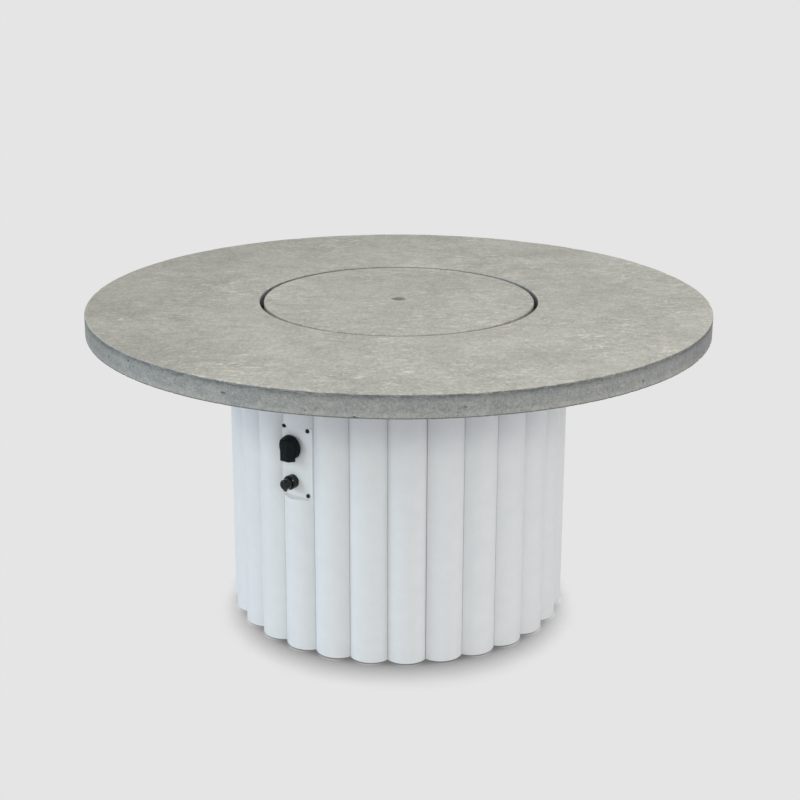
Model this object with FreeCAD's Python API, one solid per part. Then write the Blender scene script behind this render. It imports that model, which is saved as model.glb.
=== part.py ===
import FreeCAD, Part
import math
import os
from FreeCAD import Vector

os.makedirs("parts", exist_ok=True)

# Fire pit table in millimetres. +Z is up, z = 0 is the floor, and the control plate faces -Y.

# Table top
table_height = 622.3
top_dia = 1219.2
slab_t = 43.0
slab_edge = 3.0
drip_w = 6.0
drip_depth = 4.0
drip_inset = 25.0
opening_dia = 548.0
opening_edge = 2.0

# Burner cover
cover_gap = 8.0
cover_t = 20.0
cover_edge = 2.0
finger_dia = 28.0
pad_dia = 24.0
pad_count = 4
pad_inset = 16.0

# Fluted wall
flute_count = 28
panel_count = 4
crest_r = 336.0
flute_r = 43.0
sheet_t = 2.0
wall_lift = 3.0
wall_top_gap = 0.4
seam_gap = 0.5
flange_depth = 34.0
door_flange_depth = 26.0
flange_end_gap = 1.0
bury = 0.3

# Frame inside the wall
glide_h = 12.0
glide_dia = 30.0
glide_count = 8
glide_inset = 28.0
glide_edge = 2.0
floor_plate_t = 3.0
ring_t = 4.0
ring_in_gap = 7.0
frame_gap = 3.5
post_w = 25.0
post_wall = 2.0
post_inset = 1.0
vent_dia = 30.0
vent_count = 12
vent_circle_r = 205.0
tank_foot_dia = 214.0
tank_ring_t = 2.0
tank_ring_h = 20.0

# Fasteners of the frame
rivet_dia = 4.8
rivet_head_dia = 8.0
rivet_head_h = 1.1
rivet_tail_h = 2.0
rivet_rows = 3
rivet_margin = 58.0
rivet_from_axis_line = 4.0
hole_gap = 0.1
bolt_dia = 8.0
bolt_head_dia = 13.0
bolt_head_h = 5.0
bolt_count = 8
bolt_in_slab = 18.0
bolt_inset = 15.0
bolt_tip_gap = 2.0

# Burner
pan_t = 1.5
pan_r = 225.0
pan_depth = 45.0
pan_flange_gap = 6.0
pan_screw_dia = 4.0
pan_screw_head_dia = 7.0
pan_screw_head_h = 2.0
pan_screw_inset = 9.0
pan_screw_reach = 2.0
pan_screw_count = 4
drain_dia = 6.0
drain_circle_r = 205.0
drain_count = 4
burner_r = 150.0
burner_tube_dia = 16.0
burner_tube_t = 1.5
burner_height = 26.5
burner_leg_dia = 6.0
burner_leg_count = 4
port_dia = 2.5
port_count = 36
port_slope = 0.5
hub_dia = 28.0
hub_h = 20.0
hub_t = 2.5
riser_dia = 20.0
riser_t = 2.0
riser_drop = 9.5
riser_hole_gap = 0.5
lava_depth = 16.0
lava_gap = 0.4

# Gas line below the pan
elbow_dia = 26.0
elbow_socket_dia = 29.0
elbow_drop = 22.0
elbow_len = 24.0
elbow_top_gap = 1.0
mixer_dia = 22.0
mixer_len = 70.0
mixer_bore = 18.0
mixer_end_t = 2.0
mixer_slot_w = 8.0
mixer_slot_len = 24.0
mixer_slot_inset = 6.0
orifice_flats = 19.0
orifice_len = 20.0
orifice_bore = 2.0
tube_dia = 9.5
tube_bend_r = 30.0
tube_straight = 30.0
shield_r = 208.0
shield_t = 1.0
shield_drop = 43.3
shield_rod_dia = 8.0
shield_rod_inset = 13.0
shield_rod_count = 4

# Spark and flame sensing
sense_gap = 14.0
sense_offset = 10.0
bracket_w = 36.0
bracket_depth = 20.0
bracket_t = 1.5
bracket_h = 20.0
insulator_dia = 7.0
insulator_top = 23.0
insulator_drop = 4.3
ferrule_t = 1.5
ferrule_h = 4.0
spark_wire_dia = 2.0
spark_top = 31.0
spark_gap = 3.0
sensor_dia = 5.0
sensor_top = 33.0
ignition_lead_dia = 3.5
sensor_lead_dia = 2.5
lead_drop = 26.0
lead_past_shield = 14.0
lead_beside_valve = 8.0
pocket_gap = 4.0

# Control plate and its pocket in the front flute
plate_z = 378.0
plate_h = 140.0
plate_t = 2.5
plate_proud = 3.8
plate_side_gap = 2.2
plate_corner_r = 3.0
pocket_end_gap = 0.5
window_w = 40.0
window_h = 114.0
plate_screw_left = 4.4
plate_screw_right = 10.2
plate_screw_dz = 127.0
plate_screw_dia = 4.0
plate_screw_head_dia = 8.0
plate_screw_head_h = 2.8
plate_screw_len = 10.0

# Gas valve and knob
controls_x = -11.0
knob_dz = 27.2
knob_r = 23.3
knob_skirt_taper = 1.0
knob_back_gap = 6.0
knob_skirt_t = 6.5
grip_len = 14.5
grip_w = 32.0
grip_front_w = 19.0
grip_top = 21.8
grip_front_top = 19.5
grip_bottom = 24.0
grip_front_bottom = 23.0
grip_edge = 1.5
stem_dia = 8.0
stem_flat = 3.0
stem_in_knob = 13.5
stem_plate_gap = 1.0
run_gap = 0.1
knob_travel = 3.0
valve_w = 32.0
valve_h = 36.0
valve_len = 50.0
nose_t = 8.0
chamber_dia = 15.0
chamber_len = 29.0
collar_dia = 13.0
collar_t = 2.0
collar_gap = 0.3
valve_spring_len = 7.4
valve_spring_t = 0.8
valve_spring_gap = 0.4
plug_len = 18.0
socket_depth = 13.0
stem_in_socket = 8.0
port_bore = 3.0
port_from_plug_end = 2.5
outlet_dia = 16.0
outlet_h = 12.0
inlet_dia = 15.88
inlet_h = 16.0
gas_bore = 6.0
magnet_dia = 18.0
magnet_len = 12.3
valve_screw_dx = 22.0
valve_screw_dia = 4.0
valve_screw_head_dia = 6.5
valve_screw_head_h = 2.0
valve_screw_len = 10.0
set_screw_dia = 4.0
set_screw_len = 8.0

# Push-button ignitor
ignitor_dz = 41.8
ignitor_dia = 23.0
ignitor_len = 58.0
ignitor_front = 13.0
ignitor_flange_dia = 28.0
ignitor_flange_t = 3.0
ignitor_bore_depth = 44.3
ignitor_terminal_dia = 5.0
ignitor_terminal_len = 8.0
bezel_dia = 27.0
bezel_len = 14.0
bezel_edge = 1.5
button_dia = 20.0
button_front = 28.5
button_edge = 3.0
button_travel = 6.0
button_spring_len = 10.0
button_spring_t = 1.5
button_spring_gap = 1.0
plate_hole_gap = 0.3

# Rear access door
leaf_t = 1.5
leaf_play = 0.5
leaf_h = 70.0
leaf_inset = 105.0
knuckle_r = 3.2
hinge_out = 7.5
hinge_pin_dia = 3.0
hinge_pin_gap = 0.05
knuckle_gap = 0.3
knuckle_clear = 0.5
pin_head_h = 1.5
door_free_gap = 2.0
door_end_gap = 2.5
catch_w = 12.0
catch_depth = 17.7
catch_h = 45.0
catch_z = 302.0
strike_t = 1.5
strike_w = 8.0
strike_len = 16.0
strike_gap = 0.3
pull_z = 400.0
pull_dia = 26.0
pull_t = 12.0
pull_edge = 2.5
pull_neck_dia = 12.0
pull_reach = 24.0
pull_screw_dia = 4.0
pull_screw_head_dia = 8.0
pull_screw_head_h = 2.5
pull_screw_depth = 14.0

# Levels and radii that follow from the sizes above
top_r = top_dia / 2
opening_r = opening_dia / 2
deck_z = table_height - slab_t
ring_z = deck_z - ring_t
plate_top_z = glide_h + floor_plate_t
wall_top_z = deck_z - wall_top_gap
cover_r = opening_r - cover_gap
cover_z = table_height - cover_t
step = 360.0 / flute_count
half_step = math.radians(step / 2)
flute_axis_r = crest_r - flute_r
panel_angle = 360.0 / panel_count
pan_floor_z = deck_z - pan_depth
pan_inside_z = pan_floor_z + pan_t
pan_flange_r = opening_r - pan_flange_gap
burner_z = pan_inside_z + burner_height
sense_r = burner_r + burner_tube_dia / 2 + sense_gap
lava_top_z = pan_inside_z + lava_depth


def seam_surface(radius, offset):
    """Distance from the table's axis to a flute's surface, measured along a seam, beside that seam."""
    across = flute_axis_r * math.sin(half_step) - offset
    return flute_axis_r * math.cos(half_step) + math.sqrt(radius ** 2 - across ** 2)


valley_r = seam_surface(flute_r, 0.0)
valley_in_r = seam_surface(flute_r - sheet_t, 0.0)
frame_r = valley_in_r - frame_gap
bolt_r = frame_r - bolt_inset
chord_y = valley_r * math.cos(half_step)
face_y = -(chord_y + plate_proud)
plate_back_y = face_y + plate_t
knob_z = plate_z + knob_dz
ignitor_z = plate_z - ignitor_dz


def save(name, *solids):
    """Write one node to its own file."""
    shape = solids[0] if len(solids) == 1 else Part.makeCompound(list(solids))
    shape.exportStep("parts/" + name + ".step")


def disc(radius, z0, z1, x=0.0, y=0.0):
    """Upright cylinder between two levels."""
    return Part.makeCylinder(radius, z1 - z0, Vector(x, y, z0))


def ring(outer, inner, z0, z1, x=0.0, y=0.0):
    """Upright ring between two levels."""
    return disc(outer, z0, z1, x, y).cut(disc(inner, z0 - 1, z1 + 1, x, y))


def block(x0, x1, y0, y1, z0, z1):
    """Box between two corners."""
    return Part.makeBox(x1 - x0, y1 - y0, z1 - z0, Vector(x0, y0, z0))


def rod_y(radius, y0, y1, x, z):
    """Cylinder along Y."""
    return Part.makeCylinder(radius, y1 - y0, Vector(x, y0, z), Vector(0, 1, 0))


def rod_x(radius, x0, x1, y, z):
    """Cylinder along X."""
    return Part.makeCylinder(radius, x1 - x0, Vector(x0, y, z), Vector(1, 0, 0))


def turned(shape, degrees):
    """Copy of a shape, turned about the table's axis."""
    copy = shape.copy()
    copy.rotate(Vector(0, 0, 0), Vector(0, 0, 1), degrees)
    return copy


def around(shape, count, first=0.0):
    """Copies of a shape, evenly spaced about the table's axis."""
    return [turned(shape, first + 360.0 * k / count) for k in range(count)]


def at_seam(seam, side, x0, x1, d0, d1, z0, z1):
    """Box beside a seam. x runs outwards along the seam, d sideways from it, and side is its direction."""
    low, high = sorted((side * d0, side * d1))
    return turned(block(x0, x1, low, high, z0, z1), seam)


def tube(points, diameter, bend_r=math.inf):
    """Round tube along straight runs joined by arcs of the bend radius, or as wide as the runs allow."""
    pts = [Vector(*p) for p in points]
    edges = []
    radii = []
    start = pts[0]
    for before, corner, after in zip(pts, pts[1:], pts[2:]):
        back = before - corner
        ahead = after - corner
        half_turn = (math.pi - back.getAngle(ahead)) / 2
        radius = min(bend_r, 0.45 * min(back.Length, ahead.Length) / math.tan(half_turn))
        trim = radius * math.tan(half_turn)
        back.normalize()
        ahead.normalize()
        inward = (back + ahead).normalize()
        middle = corner + inward * (radius / math.cos(half_turn) - radius)
        edges.append(Part.LineSegment(start, corner + back * trim).toShape())
        edges.append(Part.Arc(corner + back * trim, middle, corner + ahead * trim).toShape())
        radii.append(round(radius, 1))
        start = corner + ahead * trim
    edges.append(Part.LineSegment(start, pts[-1]).toShape())
    path = Part.Wire(edges)
    circle = Part.Wire(Part.Circle(pts[0], pts[1] - pts[0], diameter / 2).toShape())
    solid = path.makePipeShell([circle], True, False)
    section = math.pi * diameter ** 2 / 4
    print("tube of", diameter, "radii", radii, "volume over section and length",
          round(solid.Volume / (path.Length * section), 4))
    return solid


# Table top: a cast slab with a drip groove under its rim and blind holes for its bolts
def concrete_top():
    slab = ring(top_r, opening_r, deck_z, table_height)
    outer = [e for e in slab.Edges if is_circle(e, top_r)]
    inner = [e for e in slab.Edges if is_circle(e, opening_r, table_height)]
    slab = slab.makeChamfer(slab_edge, outer).makeChamfer(opening_edge, inner)
    drip_r = top_r - drip_inset
    slab = slab.cut(ring(drip_r, drip_r - drip_w, deck_z - 1, deck_z + drip_depth))
    bolt_hole = disc(bolt_dia / 2 + hole_gap, deck_z - 1, deck_z + bolt_in_slab + bolt_tip_gap, bolt_r)
    for one in around(bolt_hole, bolt_count, 180.0 / bolt_count):
        slab = slab.cut(one)
    return slab


def is_circle(edge, radius, level=None):
    """True for a full circle of this radius, on this level where one is given."""
    curve = edge.Curve
    if not isinstance(curve, Part.Circle) or abs(curve.Radius - radius) > 0.001:
        return False
    return level is None or abs(curve.Center.z - level) < 0.001


save("concrete_top", concrete_top())

cover = disc(cover_r, cover_z, table_height).cut(disc(finger_dia / 2, cover_z - 1, table_height + 1))
cover = cover.makeChamfer(cover_edge, [e for e in cover.Edges if isinstance(e.Curve, Part.Circle)])
save("burner_cover", cover)
pad = disc(pad_dia / 2, deck_z + pan_t, cover_z, cover_r - pad_inset)
save("cover_pads", *around(pad, pad_count))


# Frame: top ring, floor plate, posts, glides and tank ring
def bored(shape, hole, count, first):
    """Shape with one hole repeated round the axis."""
    for one in around(hole, count, first):
        shape = shape.cut(one)
    return shape


top_ring = ring(frame_r, pan_r + ring_in_gap, ring_z, deck_z)
bolt_hole = disc(bolt_dia / 2 + hole_gap, ring_z - 1, deck_z + 1, bolt_r)
top_ring = bored(top_ring, bolt_hole, bolt_count, 180.0 / bolt_count)
pan_screw_r = pan_flange_r - pan_screw_inset
pan_hole = disc(pan_screw_dia / 2 + hole_gap, ring_z - 1, deck_z + 1, pan_screw_r)
top_ring = bored(top_ring, pan_hole, pan_screw_count, 180.0 / pan_screw_count)
save("top_ring", top_ring)

bolt = disc(bolt_dia / 2, ring_z, deck_z + bolt_in_slab, bolt_r)
bolt_head = disc(bolt_head_dia / 2, ring_z - bolt_head_h, ring_z, bolt_r)
save("top_bolts", *around(bolt.fuse(bolt_head), bolt_count, 180.0 / bolt_count))

floor_plate = disc(frame_r, glide_h, plate_top_z)
vent = disc(vent_dia / 2, glide_h - 1, plate_top_z + 1, vent_circle_r)
save("floor_plate", bored(floor_plate, vent, vent_count, 0.0))

glide = disc(glide_dia / 2, 0, glide_h, frame_r - glide_inset)
glide = glide.makeChamfer(glide_edge, [e for e in glide.Edges if is_circle(e, glide_dia / 2, 0.0)])
save("floor_glides", *around(glide, glide_count, 180.0 / glide_count))

tank_ring_in = tank_foot_dia / 2
save("tank_ring", ring(tank_ring_in + tank_ring_t, tank_ring_in, plate_top_z, plate_top_z + tank_ring_h))

# The seams stand between the panels. The side panels carry the posts, each on one side of its seam.
rear_right, rear_left, front_left, front_right = [panel_angle * (k + 0.5) for k in range(panel_count)]
post_seams = {"rear_right": (rear_right, -1), "rear_left": (rear_left, 1), "front_left": (front_left, -1),
              "front_right": (front_right, 1)}
flange_in_r = valley_r - flange_depth
side_face = seam_gap / 2
post_near = side_face + sheet_t
post_out_r = frame_r - post_inset
rivet_x = (flange_in_r + post_out_r) / 2 + rivet_from_axis_line
rivet_zs = [rivet_margin + k * (wall_top_z - 2 * rivet_margin) / (rivet_rows - 1) for k in range(rivet_rows)]


def seam_rod(seam, side, radius, d0, d1, z):
    """Rod through the flanges of a seam, square to it."""
    low, high = sorted((side * d0, side * d1))
    return turned(rod_y(radius, low, high, rivet_x, z), seam)


rivets = []
for name, (seam, side) in post_seams.items():
    outside = at_seam(seam, side, post_out_r - post_w, post_out_r, post_near, post_near + post_w,
                      plate_top_z, ring_z)
    inside = at_seam(seam, side, post_out_r - post_w + post_wall, post_out_r - post_wall,
                     post_near + post_wall, post_near + post_w - post_wall, plate_top_z - 1, ring_z + 1)
    post = outside.cut(inside)
    head = -side_face - sheet_t if seam in (front_left, front_right) else side_face
    for z in rivet_zs:
        hole = seam_rod(seam, side, rivet_dia / 2 + hole_gap, post_near - 1, post_near + post_wall + 1, z)
        post = post.cut(hole)
        shank = seam_rod(seam, side, rivet_dia / 2, head, post_near + post_wall, z)
        factory_head = seam_rod(seam, side, rivet_head_dia / 2, head - rivet_head_h, head, z)
        tail = seam_rod(seam, side, rivet_head_dia / 2, post_near + post_wall,
                        post_near + post_wall + rivet_tail_h, z)
        rivets.append(shank.fuse(factory_head).fuse(tail))
    save("post_" + name, post)
save("panel_rivets", *rivets)


# Fluted wall: each panel is one formed sheet of convex flutes with a flange turned in at both ends
def point(radius, degrees):
    a = math.radians(degrees)
    return Vector(radius * math.cos(a), radius * math.sin(a), 0)


def scallops(radius, start, count):
    """Edges of the flute arcs of this radius, valley to valley."""
    tip = seam_surface(radius, 0.0)
    edges = []
    for k in range(count):
        a = start + k * step
        one = point(tip, a)
        crest = point(flute_axis_r + radius, a + step / 2)
        two = point(tip, a + step)
        edges.append(Part.Arc(one, crest, two).toShape())
    return edges


def fluted_sheet(start, z0, z1):
    """Formed sheet of one panel, from seam to seam."""
    count = flute_count // panel_count
    outer = scallops(flute_r, start, count)
    inner = scallops(flute_r - sheet_t, start, count)
    end = start + panel_angle
    closing = [Part.LineSegment(point(valley_r, a), point(valley_in_r, a)).toShape() for a in (start, end)]
    wire = Part.Wire(Part.__sortEdges__(outer + inner + closing))
    sheet = Part.Face(wire).extrude(Vector(0, 0, z1 - z0))
    sheet.translate(Vector(0, 0, z0))
    return sheet


def panel(start, z0, z1, cut0, cut1, inner_r, flange_gap):
    """Panel cut back by cut0 and cut1 at its two seams, with flanges that end at inner_r."""
    end = start + panel_angle
    body = fluted_sheet(start, z0, z1)
    low, high = z0 - 1, z1 + 1
    body = body.cut(at_seam(start, 1, valley_in_r - 20, crest_r, -1, cut0, low, high))
    body = body.cut(at_seam(end, -1, valley_in_r - 20, crest_r, -1, cut1, low, high))
    for seam, side, cut in ((start, 1, cut0), (end, -1, cut1)):
        outer = seam_surface(flute_r, cut) - bury
        body = body.fuse(at_seam(seam, side, inner_r, outer, cut, cut + sheet_t,
                                 plate_top_z + flange_gap, ring_z - flange_gap))
    return body.removeSplitter()


def riveted(body, seams):
    """Panel with the rivet holes of these seams."""
    for seam in seams:
        for z in rivet_zs:
            hole = seam_rod(seam, 1, rivet_dia / 2 + hole_gap, -post_near - 1, post_near + 1, z)
            body = body.cut(hole)
    return body


def groove_x(y):
    """Half the width between the two flutes beside the front one, at a depth y."""
    a = 2 * half_step
    return flute_axis_r * math.sin(a) - math.sqrt(flute_r ** 2 - (-y - flute_axis_r * math.cos(a)) ** 2)


plate_w = 2 * (groove_x(plate_back_y) - plate_side_gap)
notch_low = plate_z - plate_h / 2 - pocket_end_gap
notch_high = plate_z + plate_h / 2 + pocket_end_gap


def front_panel():
    """Front panel, whose middle flute is stopped short of the control plate by two closed ends."""
    body = panel(front_left, wall_lift, wall_top_z, side_face, side_face, flange_in_r, flange_end_gap)
    flute = Part.makeCylinder(flute_r, notch_high - notch_low, Vector(0, -flute_axis_r, notch_low))
    keep_x = valley_r * math.sin(half_step)
    slot = flute.common(block(-keep_x, keep_x, -crest_r - 1, -flute_axis_r, notch_low, notch_high))
    body = body.cut(slot)
    wall_y = plate_back_y + sheet_t
    half_w = groove_x(plate_back_y) + bury
    back = block(-half_w, half_w, plate_back_y, wall_y, notch_low - sheet_t, notch_high + sheet_t)
    ends = []
    for z in (notch_low - sheet_t, notch_high):
        web = disc(flute_r - bury, z, z + sheet_t, 0, -flute_axis_r)
        ends.append(web.common(block(-flute_r, flute_r, -crest_r - 1, wall_y, z, z + sheet_t)))
    window = block(controls_x - window_w / 2, controls_x + window_w / 2, plate_back_y - 1, wall_y + 1,
                   plate_z - window_h / 2, plate_z + window_h / 2)
    body = body.fuse([back] + ends).cut(window)
    for x, z in plate_screw_places():
        body = body.cut(rod_y(plate_screw_dia / 2 + hole_gap, plate_back_y - 1, wall_y + 1, x, z))
    return body.removeSplitter()


def plate_screw_places():
    """Centres of the four screws of the control plate."""
    return [(x, plate_z + side * plate_screw_dz / 2)
            for x in (plate_screw_left - plate_w / 2, plate_w / 2 - plate_screw_right) for side in (-1, 1)]


def side_panel(start):
    return panel(start, wall_lift, wall_top_z, side_face, side_face, flange_in_r, flange_end_gap)


save("front_panel", riveted(front_panel(), (front_left, front_right)))
save("left_panel", riveted(side_panel(rear_left), (rear_left, front_left)))
save("right_panel", riveted(side_panel(front_right), (front_right, rear_right)))

# Control plate and its screws
plate = block(-plate_w / 2, plate_w / 2, face_y, plate_back_y, plate_z - plate_h / 2, plate_z + plate_h / 2)
plate = plate.makeFillet(plate_corner_r, [e for e in plate.Edges if abs(e.tangentAt(0).y) > 0.99])
plate = plate.cut(rod_y(stem_dia / 2 + stem_plate_gap, face_y - 1, plate_back_y + 1, controls_x, knob_z))
plate = plate.cut(rod_y(ignitor_dia / 2 + plate_hole_gap, face_y - 1, plate_back_y + 1,
                        controls_x, ignitor_z))
plate_screws = []
for x, z in plate_screw_places():
    plate = plate.cut(rod_y(plate_screw_dia / 2 + hole_gap, face_y - 1, plate_back_y + 1, x, z))
    head = rod_y(plate_screw_head_dia / 2, face_y - plate_screw_head_h, face_y, x, z)
    crown = [e for e in head.Edges if isinstance(e.Curve, Part.Circle) and e.Curve.Center.y < face_y - 1]
    head = head.makeFillet(plate_screw_head_h * 0.6, crown)
    plate_screws.append(head.fuse(rod_y(plate_screw_dia / 2, face_y, face_y + plate_screw_len, x, z)))
valve_screws = []
for side in (-1, 1):
    x = controls_x + side * valve_screw_dx / 2
    plate = plate.cut(rod_y(valve_screw_dia / 2 + hole_gap, face_y - 1, plate_back_y + 1, x, knob_z))
    head = rod_y(valve_screw_head_dia / 2, face_y - valve_screw_head_h, face_y, x, knob_z)
    valve_screws.append(head.fuse(rod_y(valve_screw_dia / 2, face_y, face_y + valve_screw_len, x, knob_z)))
save("control_plate", plate)
save("plate_screws", *plate_screws)
save("valve_screws", *valve_screws)

# Gas valve: a cast body with a plug that turns in its chamber and a sprung stem that pushes into the plug
def flatted(radius, flat, y0, y1):
    """Round rod on the knob's axis with one flat, which faces +X."""
    rod = rod_y(radius, y0, y1, controls_x, knob_z)
    return rod.cut(block(controls_x + flat, controls_x + 2 * radius, y0 - 1, y1 + 1,
                         knob_z - 2 * radius, knob_z + 2 * radius))


nose_y = plate_back_y + nose_t
valve_rear_y = plate_back_y + valve_len
collar_y = nose_y + collar_gap
spring_y = collar_y + collar_t
plug_y = spring_y + valve_spring_len
port_y = plug_y + plug_len - port_from_plug_end
valve_top_z = knob_z + valve_h / 2
valve_low_z = knob_z - valve_h / 2
valve = block(controls_x - valve_w / 2, controls_x + valve_w / 2, plate_back_y, valve_rear_y,
              valve_low_z, valve_top_z)
valve = valve.fuse(disc(outlet_dia / 2, valve_top_z, valve_top_z + outlet_h, controls_x, port_y))
valve = valve.fuse(disc(inlet_dia / 2, valve_low_z - inlet_h, valve_low_z, controls_x, port_y))
valve = valve.fuse(rod_y(magnet_dia / 2, valve_rear_y, valve_rear_y + magnet_len, controls_x, knob_z))
valve = valve.cut(rod_y(stem_dia / 2 + run_gap, plate_back_y - 1, nose_y + 1, controls_x, knob_z))
valve = valve.cut(rod_y(chamber_dia / 2, nose_y, nose_y + chamber_len, controls_x, knob_z))
valve = valve.cut(disc(gas_bore / 2, valve_low_z - inlet_h - 1, valve_top_z + outlet_h + 1,
                       controls_x, port_y))
for side in (-1, 1):
    x = controls_x + side * valve_screw_dx / 2
    valve = valve.cut(rod_y(valve_screw_dia / 2, plate_back_y - 1, face_y + valve_screw_len, x, knob_z))
save("valve_body", valve.removeSplitter())

plug = rod_y(chamber_dia / 2 - run_gap, plug_y, plug_y + plug_len, controls_x, knob_z)
plug = plug.cut(flatted(stem_dia / 2 + run_gap, stem_flat + run_gap, plug_y - 1, plug_y + socket_depth))
plug = plug.cut(disc(port_bore / 2, knob_z - chamber_dia, knob_z + chamber_dia, controls_x, port_y))
save("valve_plug", plug)

spring_in = stem_dia / 2 + valve_spring_gap
spring = rod_y(spring_in + valve_spring_t, spring_y, plug_y, controls_x, knob_z)
save("valve_spring", spring.cut(rod_y(spring_in, spring_y - 1, plug_y + 1, controls_x, knob_z)))

knob_back_y = face_y - knob_back_gap
skirt_front_y = knob_back_y - knob_skirt_t
stem_front_y = knob_back_y - stem_in_knob
stem = flatted(stem_dia / 2, stem_flat, stem_front_y, knob_back_y)
stem = stem.fuse(rod_y(stem_dia / 2, knob_back_y, plug_y - knob_travel, controls_x, knob_z))
stem = stem.fuse(flatted(stem_dia / 2, stem_flat, plug_y - knob_travel, plug_y + stem_in_socket))
stem = stem.fuse(rod_y(collar_dia / 2, collar_y, spring_y, controls_x, knob_z)).removeSplitter()
save("valve_stem", stem)


def grip_outline(y, width, top, bottom):
    """Outline of the knob's grip: straight sides, an arched top and a flat bottom end."""
    half = width / 2
    shoulder = math.sqrt(top ** 2 - half ** 2)
    left, right = controls_x - half, controls_x + half
    corners = [Vector(right, y, knob_z + shoulder), Vector(right, y, knob_z - bottom),
               Vector(left, y, knob_z - bottom), Vector(left, y, knob_z + shoulder)]
    edges = [Part.LineSegment(a, b).toShape() for a, b in zip(corners, corners[1:])]
    edges.append(Part.Arc(corners[3], Vector(controls_x, y, knob_z + top), corners[0]).toShape())
    return Part.Wire(edges)


grip_end_y = skirt_front_y - grip_len
sections = [grip_outline(skirt_front_y, grip_w, grip_top, grip_bottom),
            grip_outline(grip_end_y + grip_edge, grip_front_w, grip_front_top, grip_front_bottom),
            grip_outline(grip_end_y, grip_front_w - 2 * grip_edge, grip_front_top - grip_edge,
                         grip_front_bottom - grip_edge)]
skirt = Part.makeCone(knob_r, knob_r - knob_skirt_taper, knob_skirt_t, 
                      Vector(controls_x, knob_back_y, knob_z), Vector(0, -1, 0))
knob = skirt.fuse(Part.makeLoft(sections, True, True))
knob = knob.cut(flatted(stem_dia / 2 + run_gap, stem_flat + run_gap, stem_front_y - run_gap, knob_back_y + 1))
set_screw_y = knob_back_y - knob_skirt_t / 2
set_screw_x = controls_x + stem_flat
knob = knob.cut(rod_x(set_screw_dia / 2 + hole_gap, controls_x, controls_x + knob_r + 1,
                      set_screw_y, knob_z))
save("control_knob", knob.removeSplitter())
save("knob_set_screw", rod_x(set_screw_dia / 2, set_screw_x, set_screw_x + set_screw_len,
                             set_screw_y, knob_z))

# Push-button ignitor: a barrel through the plate, clamped by its bezel, with a sprung button in its bore
barrel_front_y = face_y - ignitor_front
barrel_rear_y = barrel_front_y + ignitor_front + ignitor_len
bore_end_y = barrel_front_y + ignitor_bore_depth
button_rear_y = bore_end_y - button_spring_len
bore_r = button_dia / 2 + run_gap
barrel = rod_y(ignitor_dia / 2, barrel_front_y, barrel_rear_y, controls_x, ignitor_z)
flange = rod_y(ignitor_flange_dia / 2, plate_back_y, plate_back_y + ignitor_flange_t, controls_x, ignitor_z)
barrel = barrel.fuse(flange)
barrel = barrel.cut(rod_y(bore_r, barrel_front_y - 1, bore_end_y, controls_x, ignitor_z))
terminal = rod_y(ignitor_terminal_dia / 2, barrel_rear_y, barrel_rear_y + ignitor_terminal_len,
                 controls_x, ignitor_z)
save("ignitor_body", barrel.fuse(terminal))

bezel = rod_y(bezel_dia / 2, face_y - bezel_len, face_y, controls_x, ignitor_z)
bezel = bezel.makeChamfer(bezel_edge, [e for e in bezel.Edges if isinstance(e.Curve, Part.Circle)
                                       and e.Curve.Center.y < face_y - 1])
save("ignitor_bezel", bezel.cut(rod_y(ignitor_dia / 2, face_y - bezel_len - 1, face_y + 1,
                                      controls_x, ignitor_z)))

button = rod_y(button_dia / 2, face_y - button_front, button_rear_y, controls_x, ignitor_z)
button = button.makeFillet(button_edge, [e for e in button.Edges if isinstance(e.Curve, Part.Circle)
                                         and e.Curve.Center.y < face_y - button_front + 1])
save("ignitor_button", button)

coil_r = bore_r - button_spring_gap
button_spring = rod_y(coil_r, button_rear_y, bore_end_y, controls_x, ignitor_z)
button_spring = button_spring.cut(rod_y(coil_r - button_spring_t, button_rear_y - 1, bore_end_y + 1,
                                        controls_x, ignitor_z))
save("ignitor_spring", button_spring)

# Burner pan: a rolled wall hung by its flange on the top ring, with a floor disc welded in
pan_wall = ring(pan_flange_r, pan_r - pan_t, deck_z, deck_z + pan_t)
pan_wall = pan_wall.fuse(ring(pan_r, pan_r - pan_t, pan_floor_z, deck_z + pan_t)).removeSplitter()
pan_hole = disc(pan_screw_dia / 2 + hole_gap, deck_z - 1, deck_z + pan_t + 1, pan_screw_r)
save("pan_wall", bored(pan_wall, pan_hole, pan_screw_count, 180.0 / pan_screw_count))

pan_floor = disc(pan_r - pan_t, pan_floor_z, pan_inside_z)
pan_floor = pan_floor.cut(disc(riser_dia / 2 + riser_hole_gap, pan_floor_z - 1, pan_inside_z + 1))
for x, dia in ((-sense_offset, insulator_dia), (sense_offset, sensor_dia)):
    pan_floor = pan_floor.cut(disc(dia / 2 + hole_gap, pan_floor_z - 1, pan_inside_z + 1, x, -sense_r))
drain = disc(drain_dia / 2, pan_floor_z - 1, pan_inside_z + 1, drain_circle_r)
save("pan_floor", bored(pan_floor, drain, drain_count, 0.0))

pan_screw = disc(pan_screw_dia / 2, ring_z - pan_screw_reach, deck_z + pan_t, pan_screw_r)
pan_screw = pan_screw.fuse(disc(pan_screw_head_dia / 2, deck_z + pan_t, deck_z + pan_t + pan_screw_head_h,
                                pan_screw_r))
save("pan_screws", *around(pan_screw, pan_screw_count, 180.0 / pan_screw_count))


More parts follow.
